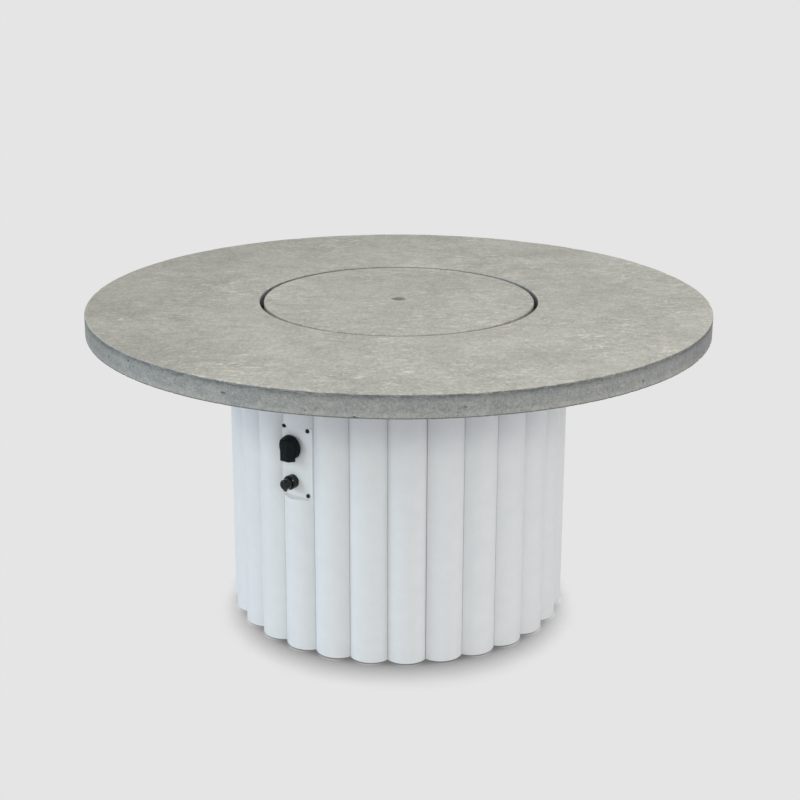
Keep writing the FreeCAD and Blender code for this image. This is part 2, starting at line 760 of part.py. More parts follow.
# Burner ring: a hollow ring tube fed by a cross tube and a hub, on four legs
def burner_ring():
    tube_r = burner_tube_dia / 2
    centre = Vector(0, 0, burner_z)
    outer = Part.makeTorus(burner_r, tube_r, centre)
    outer = outer.fuse(rod_x(tube_r, -burner_r, burner_r, 0, burner_z))
    outer = outer.fuse(disc(hub_dia / 2, burner_z - hub_h / 2, burner_z + hub_h / 2))
    outer = outer.fuse(disc(riser_dia / 2, pan_floor_z - riser_drop, burner_z))
    leg = disc(burner_leg_dia / 2, pan_inside_z, burner_z, burner_r)
    for one in around(leg, burner_leg_count, 180.0 / burner_leg_count):
        outer = outer.fuse(one)
    bore_r = tube_r - burner_tube_t
    inner = Part.makeTorus(burner_r, bore_r, centre)
    inner = inner.fuse(rod_x(bore_r, -burner_r, burner_r, 0, burner_z))
    inner = inner.fuse(disc(hub_dia / 2 - hub_t, burner_z - hub_h / 2 + hub_t, burner_z + hub_h / 2 - hub_t))
    inner = inner.fuse(disc(riser_dia / 2 - riser_t, pan_floor_z - riser_drop - 1, burner_z))
    body = outer.cut(inner)
    port = Part.makeCylinder(port_dia / 2, burner_tube_dia, Vector(burner_r, 0, burner_z),
                             Vector(port_slope, 0, 1))
    return body.cut(around(port, port_count, 180.0 / port_count))


save("burner_ring", burner_ring())

lava = disc(pan_r - pan_t - lava_gap, pan_inside_z, lava_top_z)
lava = lava.cut(disc(riser_dia / 2 + lava_gap, pan_inside_z - 1, lava_top_z + 1))
leg_hole = disc(burner_leg_dia / 2 + lava_gap, pan_inside_z - 1, lava_top_z + 1, burner_r)
lava = bored(lava, leg_hole, burner_leg_count, 180.0 / burner_leg_count)
sense_pocket = block(-bracket_w / 2 - pocket_gap, bracket_w / 2 + pocket_gap,
                     -sense_r - bracket_depth / 2 - pocket_gap, -sense_r + bracket_depth / 2 + pocket_gap,
                     pan_inside_z - 1, lava_top_z + 1)
save("lava_bed", lava.cut(sense_pocket))

# Spark electrode and thermocouple on one bracket beside the ring
bracket_low = -sense_r - bracket_depth / 2
foot = block(-bracket_w / 2, bracket_w / 2, bracket_low, bracket_low + bracket_depth,
             pan_inside_z, pan_inside_z + bracket_t)
upright = block(-bracket_w / 2, bracket_w / 2, bracket_low, bracket_low + bracket_t,
                pan_inside_z, pan_inside_z + bracket_h)
bracket = foot.fuse(upright).removeSplitter()
bracket = bracket.cut(disc(insulator_dia / 2 + hole_gap, pan_inside_z - 1, pan_inside_z + bracket_t + 1,
                           -sense_offset, -sense_r))
bracket = bracket.cut(disc(sensor_dia / 2 + hole_gap, pan_inside_z - 1, pan_inside_z + bracket_t + 1,
                           sense_offset, -sense_r))
save("electrode_bracket", bracket)

lead_start_z = pan_floor_z - insulator_drop
ferrule_z = pan_inside_z + bracket_t
electrode = disc(insulator_dia / 2, lead_start_z, pan_inside_z + insulator_top, -sense_offset, -sense_r)
electrode = electrode.fuse(disc(insulator_dia / 2 + ferrule_t, ferrule_z, ferrule_z + ferrule_h,
                                -sense_offset, -sense_r))
spark_z = pan_inside_z + spark_top
electrode = electrode.fuse(disc(spark_wire_dia / 2, pan_inside_z + insulator_top, spark_z,
                                -sense_offset, -sense_r))
spark_tip_y = -sense_r + sense_gap - spark_gap
electrode = electrode.fuse(rod_y(spark_wire_dia / 2, -sense_r, spark_tip_y, -sense_offset, spark_z))
electrode = electrode.fuse(Part.makeSphere(spark_wire_dia / 2, Vector(-sense_offset, -sense_r, spark_z)))
save("spark_electrode", electrode)
sensor = disc(sensor_dia / 2, lead_start_z, pan_inside_z + sensor_top, sense_offset, -sense_r)
sensor = sensor.fuse(disc(sensor_dia / 2 + ferrule_t, ferrule_z, ferrule_z + ferrule_h,
                          sense_offset, -sense_r))
save("thermocouple", sensor)

# Gas line from the valve to the burner
elbow_z = pan_floor_z - elbow_drop
riser_end_z = pan_floor_z - riser_drop
elbow = disc(elbow_socket_dia / 2, elbow_z - elbow_socket_dia / 2, pan_floor_z - elbow_top_gap)
elbow = elbow.fuse(rod_y(elbow_dia / 2, -elbow_len, 0, 0, elbow_z))
elbow = elbow.cut(disc(riser_dia / 2 + hole_gap, riser_end_z, pan_floor_z))
elbow = elbow.cut(disc(riser_dia / 2 - riser_t, elbow_z - mixer_bore / 2, pan_floor_z))
elbow = elbow.cut(rod_y(mixer_bore / 2, -elbow_len - 1, 0, 0, elbow_z))
save("burner_elbow", elbow.removeSplitter())

mixer_end_y = -elbow_len - mixer_len
mixer = rod_y(mixer_dia / 2, mixer_end_y, -elbow_len, 0, elbow_z)
mixer = mixer.cut(rod_y(mixer_bore / 2, mixer_end_y + mixer_end_t, -elbow_len + 1, 0, elbow_z))
slot_y = mixer_end_y + mixer_slot_inset
mixer = mixer.cut(block(-mixer_dia, mixer_dia, slot_y, slot_y + mixer_slot_len,
                        elbow_z - mixer_slot_w / 2, elbow_z + mixer_slot_w / 2))
mixer = mixer.cut(rod_y(gas_bore / 2, mixer_end_y - 1, slot_y, 0, elbow_z))
save("air_mixer", mixer)

hex_r = orifice_flats / 2 / math.cos(math.pi / 6)
corners = [Vector(hex_r * math.cos(math.radians(60 * k)), mixer_end_y - orifice_len,
                  elbow_z + hex_r * math.sin(math.radians(60 * k))) for k in range(7)]
orifice = Part.Face(Part.makePolygon(corners)).extrude(Vector(0, orifice_len, 0))
orifice = orifice.cut(rod_y(orifice_bore / 2, mixer_end_y - orifice_len - 1, mixer_end_y + 1, 0, elbow_z))
save("orifice_fitting", orifice)

tube_end_y = mixer_end_y - orifice_len
save("gas_tube", tube([(controls_x, port_y, valve_top_z + outlet_h), (controls_x, port_y, elbow_z),
                       (0, tube_end_y - tube_straight, elbow_z), (0, tube_end_y, elbow_z)],
                      tube_dia, tube_bend_r))

# Leads: down from the pan, out past the heat shield's rim and down to the ignitor and the valve
lead_x = sense_offset + 2
lead_turn_z = lead_start_z - lead_drop
lead_y = -shield_r - lead_past_shield
beside_x = controls_x - valve_w / 2 - lead_beside_valve
terminal_y = barrel_rear_y + ignitor_terminal_len
ignition_route = [(-sense_offset, -sense_r, lead_start_z), (-sense_offset, -sense_r, lead_turn_z),
                  (-lead_x, lead_y, lead_turn_z - 4), (beside_x, lead_y - 8, knob_z + 30),
                  (beside_x, lead_y - 8, ignitor_z + 28), (controls_x, terminal_y + 22, ignitor_z),
                  (controls_x, terminal_y, ignitor_z)]
save("ignition_lead", tube(ignition_route, ignition_lead_dia))
sensor_end_y = valve_rear_y + magnet_len
sensor_route = [(sense_offset, -sense_r, lead_start_z), (sense_offset, -sense_r, lead_turn_z),
                (lead_x, lead_y, lead_turn_z - 4), (lead_x, lead_y - 4, knob_z + 26),
                (controls_x, sensor_end_y + 26, knob_z), (controls_x, sensor_end_y, knob_z)]
save("thermocouple_lead", tube(sensor_route, sensor_lead_dia))

# Heat shield on rods below the pan
shield_z = pan_floor_z - shield_drop
save("heat_shield", disc(shield_r, shield_z - shield_t, shield_z))
shield_rod = disc(shield_rod_dia / 2, shield_z, pan_floor_z, shield_r - shield_rod_inset)
save("shield_rods", *around(shield_rod, shield_rod_count, 180.0 / shield_rod_count))

# Rear access door, hinged at its seam beside the right panel and caught at the other one
hinge_seam = rear_right
free_seam = rear_left
door_hinge_cut = 2 * leaf_t + leaf_play - side_face
door_free_cut = door_free_gap - side_face
door_low_z = wall_lift + door_end_gap
door_high_z = wall_top_z - door_end_gap
hinge_x = valley_r + hinge_out
hinge_d = leaf_t + leaf_play / 2 - side_face
door_flange_r = valley_r - door_flange_depth
door_flute = free_seam - step / 2
door = panel(hinge_seam, door_low_z, door_high_z, door_hinge_cut, door_free_cut, door_flange_r, door_end_gap)
pull_hole = rod_x(pull_screw_dia / 2 + hole_gap, crest_r - 3 * sheet_t, crest_r + 1, 0, pull_z)
save("access_door", door.cut(turned(pull_hole, door_flute)))

fixed_leaves = []
door_leaves = []
pins = []
for z in (door_low_z + leaf_inset, door_high_z - leaf_inset):
    low, high = z - leaf_h / 2, z + leaf_h / 2
    third = leaf_h / 3
    plate_end = hinge_x - knuckle_r - knuckle_clear
    bore = Part.makeCylinder(hinge_pin_dia / 2 + hinge_pin_gap, leaf_h + 2, Vector(hinge_x, hinge_d, low - 1))
    fixed = block(door_flange_r, plate_end, -side_face, leaf_t - side_face, low, high)
    moving = block(door_flange_r, plate_end, door_hinge_cut - leaf_t, door_hinge_cut, low, high)
    for k in range(3):
        z0, z1 = low + k * third + knuckle_gap / 2, low + (k + 1) * third - knuckle_gap / 2
        knuckle = disc(knuckle_r, z0, z1, hinge_x, hinge_d)
        if k == 1:
            arm = block(plate_end, hinge_x, door_hinge_cut - leaf_t, door_hinge_cut, z0, z1)
            moving = moving.fuse(arm).fuse(knuckle)
        else:
            arm = block(plate_end, hinge_x, -side_face, leaf_t - side_face, z0, z1)
            fixed = fixed.fuse(arm).fuse(knuckle)
    fixed_leaves.append(turned(fixed.cut(bore).removeSplitter(), hinge_seam))
    door_leaves.append(turned(moving.cut(bore).removeSplitter(), hinge_seam))
    pin = disc(hinge_pin_dia / 2, low, high, hinge_x, hinge_d)
    pin = pin.fuse(disc(knuckle_r, high, high + pin_head_h, hinge_x, hinge_d))
    pins.append(turned(pin, hinge_seam))
save("hinge_fixed_leaves", *fixed_leaves)
save("hinge_door_leaves", *door_leaves)
save("hinge_pins", *pins)

catch_out_r = door_flange_r - strike_gap
save("door_catch", at_seam(free_seam, -1, catch_out_r - catch_depth, catch_out_r, -side_face, catch_w,
                           catch_z - catch_h / 2, catch_z + catch_h / 2))
strike_d = door_free_cut + sheet_t
strike_low = catch_z - catch_h / 2
strike_high = catch_z + catch_h / 2
strike = at_seam(free_seam, -1, door_flange_r, door_flange_r + strike_len, strike_d, strike_d + strike_t,
                 strike_low, strike_high)
strike = strike.fuse(at_seam(free_seam, -1, door_flange_r, door_flange_r + strike_t, strike_d,
                             strike_d + strike_w, strike_low, strike_high))
save("catch_strike", strike.removeSplitter())

pull = rod_x(pull_neck_dia / 2, crest_r - sheet_t, crest_r + pull_reach, 0, pull_z)
grip = rod_x(pull_dia / 2, crest_r + pull_reach - pull_t, crest_r + pull_reach, 0, pull_z)
pull = pull.fuse(grip.makeFillet(pull_edge, [e for e in grip.Edges if isinstance(e.Curve, Part.Circle)]))
pull = pull.cut(Part.makeCylinder(flute_r, pull_dia, Vector(flute_axis_r, 0, pull_z - pull_dia / 2)))
pull = pull.cut(rod_x(pull_screw_dia / 2, crest_r - sheet_t, crest_r + pull_screw_depth, 0, pull_z))
save("door_pull", turned(pull, door_flute))
screw_seat = crest_r - sheet_t - bury
pull_screw = rod_x(pull_screw_dia / 2, screw_seat, crest_r + pull_screw_depth - 1, 0, pull_z)
head = rod_x(pull_screw_head_dia / 2, screw_seat - pull_screw_head_h, screw_seat, 0, pull_z)
save("pull_screw", turned(pull_screw.fuse(head), door_flute))
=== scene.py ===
import bpy
import bmesh
import math
import random
from mathutils import Matrix, Vector
from mathutils.noise import fractal


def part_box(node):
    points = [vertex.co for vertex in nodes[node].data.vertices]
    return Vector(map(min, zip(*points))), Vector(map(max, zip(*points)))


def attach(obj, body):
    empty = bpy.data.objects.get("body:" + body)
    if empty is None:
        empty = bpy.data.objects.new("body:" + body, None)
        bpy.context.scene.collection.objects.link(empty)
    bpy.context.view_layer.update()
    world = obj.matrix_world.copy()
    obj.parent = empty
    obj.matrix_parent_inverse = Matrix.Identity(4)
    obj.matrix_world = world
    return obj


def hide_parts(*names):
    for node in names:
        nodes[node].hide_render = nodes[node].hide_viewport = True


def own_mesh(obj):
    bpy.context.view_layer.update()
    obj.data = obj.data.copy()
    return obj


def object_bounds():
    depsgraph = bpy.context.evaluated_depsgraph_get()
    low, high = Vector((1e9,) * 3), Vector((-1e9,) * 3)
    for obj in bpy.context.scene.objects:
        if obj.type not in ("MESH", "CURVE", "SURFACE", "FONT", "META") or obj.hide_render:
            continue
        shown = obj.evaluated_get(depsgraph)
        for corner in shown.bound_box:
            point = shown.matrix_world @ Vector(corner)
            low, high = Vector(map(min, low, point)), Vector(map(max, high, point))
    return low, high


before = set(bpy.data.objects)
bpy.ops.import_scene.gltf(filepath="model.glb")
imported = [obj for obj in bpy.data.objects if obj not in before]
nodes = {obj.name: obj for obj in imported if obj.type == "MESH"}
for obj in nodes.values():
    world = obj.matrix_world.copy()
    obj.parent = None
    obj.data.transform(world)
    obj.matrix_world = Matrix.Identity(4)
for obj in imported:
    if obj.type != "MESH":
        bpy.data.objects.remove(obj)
cad_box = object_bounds()


# The view: a long lens a little above the table's edge, 36 degrees round from the control plate.
# The horizon lies above the picture, so the floor fills it.
def heading(side, rise=0.0):
    """Direction by its angle round from the control plate's side and its angle above the floor."""
    return Vector((math.sin(side) * math.cos(rise), -math.cos(side) * math.cos(rise), math.sin(rise)))


table_height = cad_box[1][2]
view_distance = 2.955
view_side = math.radians(35.6)
view_up = math.radians(14.43)
look_down = math.radians(15.26)
roll = math.radians(-0.17)
picture_shift = -0.1
farthest_seen = 200.0
sensor_width = 36.0
picture_pixels = 800.0
focal_pixels = 1495.0
camera_data = bpy.data.cameras.new("view")
camera_data.sensor_width = sensor_width
camera_data.lens = sensor_width * focal_pixels / picture_pixels
camera_data.shift_y = picture_shift
camera_data.clip_end = farthest_seen
camera = bpy.data.objects.new("view", camera_data)
bpy.context.scene.collection.objects.link(camera)
camera.location = Vector((0.0, 0.0, table_height)) + view_distance * heading(view_side, view_up)
camera.rotation_euler = (math.radians(90.0) - look_down, roll, view_side)
bpy.context.scene.camera = camera
bpy.context.scene.view_settings.view_transform = "Standard"

# The room: an even pale surround, as in a bright photo studio, with soft light from three low windows.
# The left one's light is cool and the strongest, and that of the other two is warmer.
world = bpy.data.worlds.new("room")
bpy.context.scene.world = world
world.use_nodes = True
room = world.node_tree
room.nodes.clear()
room_out = room.nodes.new("ShaderNodeOutputWorld")
room_light = room.nodes.new("ShaderNodeBackground")
room_light.inputs["Color"].default_value = (0.962, 0.945, 1.0, 1.0)
room_light.inputs["Strength"].default_value = 0.748
room.links.new(room_light.outputs[0], room_out.inputs[0])


def lamp(name, strength, width, side, up, color):
    """Far lamp of an apparent width, by its angle to the right of the view and above the floor."""
    data = bpy.data.lights.new(name, "SUN")
    data.energy = strength
    data.angle = math.radians(width)
    data.color = color
    obj = bpy.data.objects.new(name, data)
    bpy.context.scene.collection.objects.link(obj)
    toward = heading(view_side + math.radians(side), math.radians(up))
    obj.rotation_euler = toward.to_track_quat("Z", "Y").to_euler()


lamp("left window", 1.00, 30.0, -80.0, 22.0, (0.69, 0.89, 0.99))
lamp("front window", 0.50, 10.0, 0.0, 27.0, (0.98, 1.0, 0.82))
lamp("right window", 0.49, 30.0, 74.0, 18.0, (1.0, 0.955, 0.85))


# The floor: plain and pale, with a painted shadow round the pedestal's foot. The camera sees the floor as an
# even grey glow, darkened near the foot by an occlusion pattern: painted shadow, deeper in front of the foot,
# behind it and under the floor plate.
def feed(tree, socket, value):
    """Puts a number, a colour or a pattern into a socket."""
    if isinstance(value, (tuple, float)):
        socket.default_value = value
    else:
        tree.links.new(value, socket)


def spread(tree, value, low, high, to_low=0.0, to_high=1.0):
    """A pattern's values between two limits, spread over two others. A limit can be a pattern too."""
    node = tree.nodes.new("ShaderNodeMapRange")
    names = ("Value", "From Min", "From Max", "To Min", "To Max")
    for name, entry in zip(names, (value, low, high, to_low, to_high)):
        feed(tree, node.inputs[name], entry)
    return node.outputs["Result"]


def arithmetic(tree, operation, *values):
    """Arithmetic on patterns and numbers."""
    node = tree.nodes.new("ShaderNodeMath")
    node.operation = operation
    for value, socket in zip(values, node.inputs):
        feed(tree, socket, value)
    return node.outputs[0]


def mixed(tree, amount, one, two, kind="MIX"):
    """Mix of two colours by an amount. Each is a number, a colour or a pattern."""
    node = tree.nodes.new("ShaderNodeMix")
    node.data_type = "RGBA"
    node.blend_type = kind
    for value, socket in ((amount, node.inputs[0]), (one, node.inputs[6]), (two, node.inputs[7])):
        feed(tree, socket, value)
    return node.outputs[2]


def vector(tree, operation, where, by=None):
    """Vector arithmetic on places, as its node."""
    node = tree.nodes.new("ShaderNodeVectorMath")
    node.operation = operation
    tree.links.new(where, node.inputs[0])
    if by is not None:
        node.inputs[1].default_value = by
    return node


floor_size = 60.0
floor_level = -0.0005
floor_grey = 0.783
deepest_grey = 0.16
side_shade = 0.42
foot_radius = 0.315
shade_reach = 0.12
floor_mesh = bpy.data.meshes.new("floor")
bm = bmesh.new()
bmesh.ops.create_grid(bm, x_segments=1, y_segments=1, size=floor_size)
bmesh.ops.translate(bm, verts=bm.verts, vec=(0.0, 0.0, floor_level))
bm.to_mesh(floor_mesh)
bm.free()
floor = bpy.data.objects.new("floor", floor_mesh)
bpy.context.scene.collection.objects.link(floor)
floor_look = bpy.data.materials.new("floor")
floor_look.use_nodes = True
tree = floor_look.node_tree
tree.nodes.clear()
spot = tree.nodes.new("ShaderNodeTexCoord").outputs["Object"]
outward = vector(tree, "NORMALIZE", spot).outputs["Vector"]
toward_view = vector(tree, "DOT_PRODUCT", outward, heading(view_side)).outputs["Value"]
from_middle = vector(tree, "LENGTH", spot).outputs["Value"]
in_front = spread(tree, toward_view, 0.0, 0.75, side_shade, 1.0)
behind = spread(tree, toward_view, -0.35, -0.85, side_shade, 1.0)
beneath = spread(tree, from_middle, foot_radius + 0.01, foot_radius)
kept = arithmetic(tree, "MAXIMUM", arithmetic(tree, "MAXIMUM", in_front, behind), beneath)
# Painted shadow: the floor's glow is darkened where the pedestal is near, by occlusion, more in front of and
# behind the foot.
openness = tree.nodes.new("ShaderNodeAmbientOcclusion")
openness.samples = 16
openness.inputs["Distance"].default_value = shade_reach
bright_from = spread(tree, toward_view, 0.0, 0.95, 0.62, 0.93)
shade = spread(tree, openness.outputs["AO"], 0.42, bright_from, deepest_grey, floor_grey)
seen_look = tree.nodes.new("ShaderNodeEmission")
feed(tree, seen_look.inputs["Color"], mixed(tree, kept, (floor_grey, floor_grey, floor_grey, 1.0), shade))
real_look = tree.nodes.new("ShaderNodeBsdfDiffuse")
real_look.inputs["Color"].default_value = (0.62, 0.63, 0.64, 1.0)
ray = tree.nodes.new("ShaderNodeLightPath")
seen = arithmetic(tree, "MAXIMUM", ray.outputs["Is Camera Ray"], ray.outputs["Is Glossy Ray"])
seen = arithmetic(tree, "MAXIMUM", seen, ray.outputs["Is Transmission Ray"])
either = tree.nodes.new("ShaderNodeMixShader")
tree.links.new(seen, either.inputs["Fac"])
tree.links.new(real_look.outputs[0], either.inputs[1])
tree.links.new(seen_look.outputs[0], either.inputs[2])
floor_out = tree.nodes.new("ShaderNodeOutputMaterial")
tree.links.new(either.outputs[0], floor_out.inputs["Surface"])
floor_mesh.materials.append(floor_look)


# Frame: a top ring, four tube posts, a floor plate and a ring for the cylinder's foot.
# They are galvanised sheet steel, cut, bent and spot welded, and left bare inside the wall.
def new_material(name):
    """Material with a Principled shader, as the material, its node tree and the shader."""
    look = bpy.data.materials.new(name)
    look.use_nodes = True
    tree = look.node_tree
    return look, tree, tree.nodes["Principled BSDF"]


def place(tree, scale=(1.0, 1.0, 1.0)):
    """Object coordinates, stretched by a scale."""
    coords = tree.nodes.new("ShaderNodeTexCoord")
    mapping = tree.nodes.new("ShaderNodeMapping")
    mapping.inputs["Scale"].default_value = scale
    tree.links.new(coords.outputs["Object"], mapping.inputs["Vector"])
    return mapping.outputs["Vector"]


def noise(tree, where, scale, detail=4.0, rough=0.5, warp=0.0):
    """Noise pattern over places, with more fine detail, roughness and warp for higher numbers."""
    node = tree.nodes.new("ShaderNodeTexNoise")
    node.inputs["Scale"].default_value = scale
    node.inputs["Detail"].default_value = detail
    node.inputs["Roughness"].default_value = rough
    node.inputs["Distortion"].default_value = warp
    tree.links.new(where, node.inputs["Vector"])
    return node.outputs["Fac"]


def relief(tree, height, strength, distance):
    """Relief on a material from a pattern, with its full height in metres."""
    shader = tree.nodes["Principled BSDF"]
    node = tree.nodes.new("ShaderNodeBump")
    node.inputs["Strength"].default_value = strength
    node.inputs["Distance"].default_value = distance
    tree.links.new(height, node.inputs["Height"])
    tree.links.new(node.outputs["Normal"], shader.inputs["Normal"])


def dress(look, *names):
    """Gives carried-over pieces a material."""
    for name in names:
        nodes[name].data.materials.clear()
        nodes[name].data.materials.append(look)


galvanised, tree, shader = new_material("galvanised sheet")
cells = tree.nodes.new("ShaderNodeTexVoronoi")
cells.inputs["Scale"].default_value = 90.0
tree.links.new(place(tree), cells.inputs["Vector"])
spangle = tree.nodes.new("ShaderNodeSeparateColor")
tree.links.new(cells.outputs["Color"], spangle.inputs["Color"])
haze = noise(tree, place(tree), 14.0, 5.0, 0.6)
zinc = mixed(tree, spangle.outputs["Red"], (0.44, 0.46, 0.48, 1.0), (0.60, 0.62, 0.64, 1.0))
zinc = mixed(tree, spread(tree, haze, 0.45, 0.75, 0.0, 0.5), zinc, (0.40, 0.41, 0.41, 1.0))
tree.links.new(zinc, shader.inputs["Base Color"])
tree.links.new(spread(tree, spangle.outputs["Green"], 0.0, 1.0, 0.34, 0.52), shader.inputs["Roughness"])
shader.inputs["Metallic"].default_value = 0.85
dress(galvanised, "top_ring", "floor_plate", "tank_ring", "post_front_left", "post_front_right",
      "post_rear_left", "post_rear_right", "heat_shield")


# Glides: eight moulded feet that keep the floor plate off a wet patio.
# They are black plastic with a fine grain, as are the door's catch and pull.
def blotched(name, scale, limits, colours, roughness, detail=4.0, metallic=0.0, specular=0.5):
    """Material that wanders between two colours by a noise between two limits.

    Its roughness is a number, or a pair that the same noise spreads over.
    """
    look, tree, shader = new_material(name)
    blotches = noise(tree, place(tree), scale, detail, 0.6)
    colour = mixed(tree, spread(tree, blotches, *limits), *colours)
    tree.links.new(colour, shader.inputs["Base Color"])
    if isinstance(roughness, tuple):
        roughness = spread(tree, blotches, 0.3, 0.7, *roughness)
    feed(tree, shader.inputs["Roughness"], roughness)
    shader.inputs["Metallic"].default_value = metallic
    shader.inputs["Specular IOR Level"].default_value = specular
    return look


moulded = blotched(
    "black moulded plastic", 90.0, (0.35, 0.7), ((0.008, 0.013, 0.014, 1.0), (0.016, 0.020, 0.021, 1.0)),
    (0.36, 0.50), specular=0.05)
tree = moulded.node_tree
relief(tree, noise(tree, place(tree), 2600.0, 3.0, 0.6), 0.25, 0.00006)
dress(moulded, "floor_glides", "door_catch", "door_pull")

# Bolts, rivets, screws, hinges and the strike: small steel pieces with a bright zinc plating.
# They come plated, and the plating wears dull where a tool or another piece has rubbed it.
plated = blotched(
    "zinc plate", 220.0, (0.4, 0.7), ((0.62, 0.63, 0.62, 1.0), (0.50, 0.50, 0.47, 1.0)),
    (0.24, 0.42), detail=5.0, metallic=1.0)
dress(plated, "top_bolts", "panel_rivets", "valve_screws", "hinge_fixed_leaves", "hinge_door_leaves",
      "hinge_pins", "catch_strike", "pull_screw", "knob_set_screw", "shield_rods")


# Wall: three panels and a rear door of formed steel sheet, in upright half-round flutes.
# They have a smooth white powder coat, with painted shade in the joints between the flutes.
def upness(tree):
    """How far a face looks up, from -1 to 1."""
    geometry = tree.nodes.new("ShaderNodeNewGeometry")
    xyz = tree.nodes.new("ShaderNodeSeparateXYZ")
    tree.links.new(geometry.outputs["True Normal"], xyz.inputs[0])
    return xyz.outputs["Z"]


flute_count = 28
flute_step = math.tau / flute_count
valley_radius = 0.31896
flute_width = flute_step * valley_radius
half_flute = 0.5 * flute_width
white, tree, shader = new_material("white powder coat")
xyz = tree.nodes.new("ShaderNodeSeparateXYZ")
tree.links.new(place(tree), xyz.inputs[0])
turn = arithmetic(tree, "ARCTAN2", xyz.outputs["X"], xyz.outputs["Y"])
from_joint = arithmetic(tree, "ADD", turn, math.tau + flute_step / 2.0)
steps_round = arithmetic(tree, "DIVIDE", from_joint, flute_step)
off_crest = arithmetic(tree, "SUBTRACT", arithmetic(tree, "FRACT", steps_round), 0.5)
from_crest = arithmetic(tree, "MULTIPLY", arithmetic(tree, "ABSOLUTE", off_crest), flute_width)
# Painted shade: a thin dark line down each valley and a soft darker band either side of it.
painted_valley_shade = spread(tree, from_crest, half_flute - 0.0011, half_flute - 0.0003)
painted_joint_shade = spread(tree, from_crest, half_flute - 0.006, half_flute)
powder = noise(tree, place(tree), 34.0, 5.0, 0.6)
coat = mixed(tree, spread(tree, powder, 0.35, 0.70), (0.770, 0.790, 0.806, 1.0), (0.800, 0.818, 0.830, 1.0))
coat = mixed(tree, arithmetic(tree, "MULTIPLY", painted_joint_shade, 0.12), coat, (0.60, 0.61, 0.61, 1.0))
coat = mixed(tree, arithmetic(tree, "MULTIPLY", painted_valley_shade, 0.45), coat, (0.36, 0.36, 0.36, 1.0))
# Painted light: faces that look up, such as the ledge under the control plate, are made lighter.
coat = mixed(tree, spread(tree, upness(tree), 0.6, 0.9), coat, (0.94, 0.94, 0.94, 1.0))
tree.links.new(coat, shader.inputs["Base Color"])
tree.links.new(spread(tree, powder, 0.3, 0.7, 0.42, 0.52), shader.inputs["Roughness"])
relief(tree, noise(tree, place(tree), 520.0, 2.0, 0.5), 0.12, 0.0001)
dress(white, "front_panel", "left_panel", "right_panel", "access_door")

# Control plate: flat steel with the same coat, set in a notch of the front flute by four screws.
# The screws are steel, blackened in a bath.
plate_white = blotched(
    "white plate coat", 60.0, (0.35, 0.7), ((0.765, 0.785, 0.800, 1.0), (0.800, 0.815, 0.825, 1.0)),
    0.45, detail=5.0)
tree = plate_white.node_tree
relief(tree, noise(tree, place(tree), 620.0, 2.0, 0.5), 0.1, 0.0001)
dress(plate_white, "control_plate")
blackened = blotched(
    "black oxide", 500.0, (0.45, 0.75), ((0.004, 0.005, 0.006, 1.0), (0.016, 0.016, 0.016, 1.0)),
    0.48, specular=0.25)
dress(blackened, "plate_screws")

# Gas valve: a brass body with a plug and a stem, machined from bar, on the back of the control plate.
# The orifice fitting and the burner's elbow are machined brass too.
brass = blotched(
    "machined brass", 70.0, (0.4, 0.72), ((0.74, 0.56, 0.27, 1.0), (0.52, 0.36, 0.17, 1.0)),
    (0.24, 0.42), detail=5.0, metallic=1.0)
tree = brass.node_tree
tool_marks = noise(tree, place(tree, (160.0, 2600.0, 160.0)), 1.0, 3.0, 0.6)
relief(tree, tool_marks, 0.12, 0.00008)
dress(brass, "valve_body", "valve_plug", "valve_stem", "orifice_fitting", "burner_elbow")

# Knob and ignitor: black moulded plastic, with a fine grain on the knob.
# The ignitor's body, bezel and button come smooth and glossy from the mould.
dress(moulded, "control_knob")
glossy = blotched(
    "glossy black plastic", 90.0, (0.35, 0.7), ((0.003, 0.005, 0.006, 1.0), (0.007, 0.009, 0.010, 1.0)),
    (0.16, 0.24), specular=0.30)
dress(glossy, "ignitor_body", "ignitor_bezel", "ignitor_button")

# Springs: coils of spring wire, one under the valve's stem and one behind the ignitor's button.
# Each stands between two flat faces and rests on the rear one; the real spring is squeezed when its control
# is pushed, but this coil keeps its length.
spring_wire, tree, shader = new_material("spring wire")
drawn = noise(tree, place(tree), 900.0, 3.0, 0.5)
steel = mixed(tree, drawn, (0.42, 0.43, 0.45, 1.0), (0.58, 0.59, 0.60, 1.0))
tree.links.new(steel, shader.inputs["Base Color"])
shader.inputs["Metallic"].default_value = 1.0
shader.inputs["Roughness"].default_value = 0.28


def new_piece(name, bm, look, body):
    """Object at the origin with this mesh, dressed and riding on a body."""
    mesh = bpy.data.meshes.new(name)
    bm.to_mesh(mesh)
    bm.free()
    mesh.materials.append(look)
    piece = bpy.data.objects.new(name, mesh)
    bpy.context.scene.collection.objects.link(piece)
    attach(piece, body)
    return piece


def coil(name, body, front, rear, coil_radius, wire_radius):
    """Coil spring along Y between two faces, given by the middle of each."""
    middle_x, front_y, level = front
    rear_y = rear[1]
    turns = 4
    steps = 28 * turns
    bm = bmesh.new()
    wire = bmesh.ops.create_circle(bm, segments=10, radius=wire_radius)["verts"]
    bmesh.ops.translate(bm, verts=wire, vec=(coil_radius, 0.0, 0.0))
    rise = (rear_y - front_y - 2.0 * wire_radius) / steps
    bmesh.ops.spin(bm, geom=wire + list(bm.edges), cent=(0.0, 0.0, 0.0), axis=(0.0, 1.0, 0.0),
                   dvec=(0.0, rise, 0.0), angle=math.tau * turns, steps=steps)
    bmesh.ops.holes_fill(bm, edges=[edge for edge in bm.edges if edge.is_boundary], sides=0)
    bmesh.ops.recalc_face_normals(bm, faces=bm.faces)
    bmesh.ops.translate(bm, verts=bm.verts, vec=(middle_x, front_y + wire_radius, level))
    for face in bm.faces:
        face.smooth = len(face.verts) == 4
    return new_piece(name, bm, spring_wire, body)


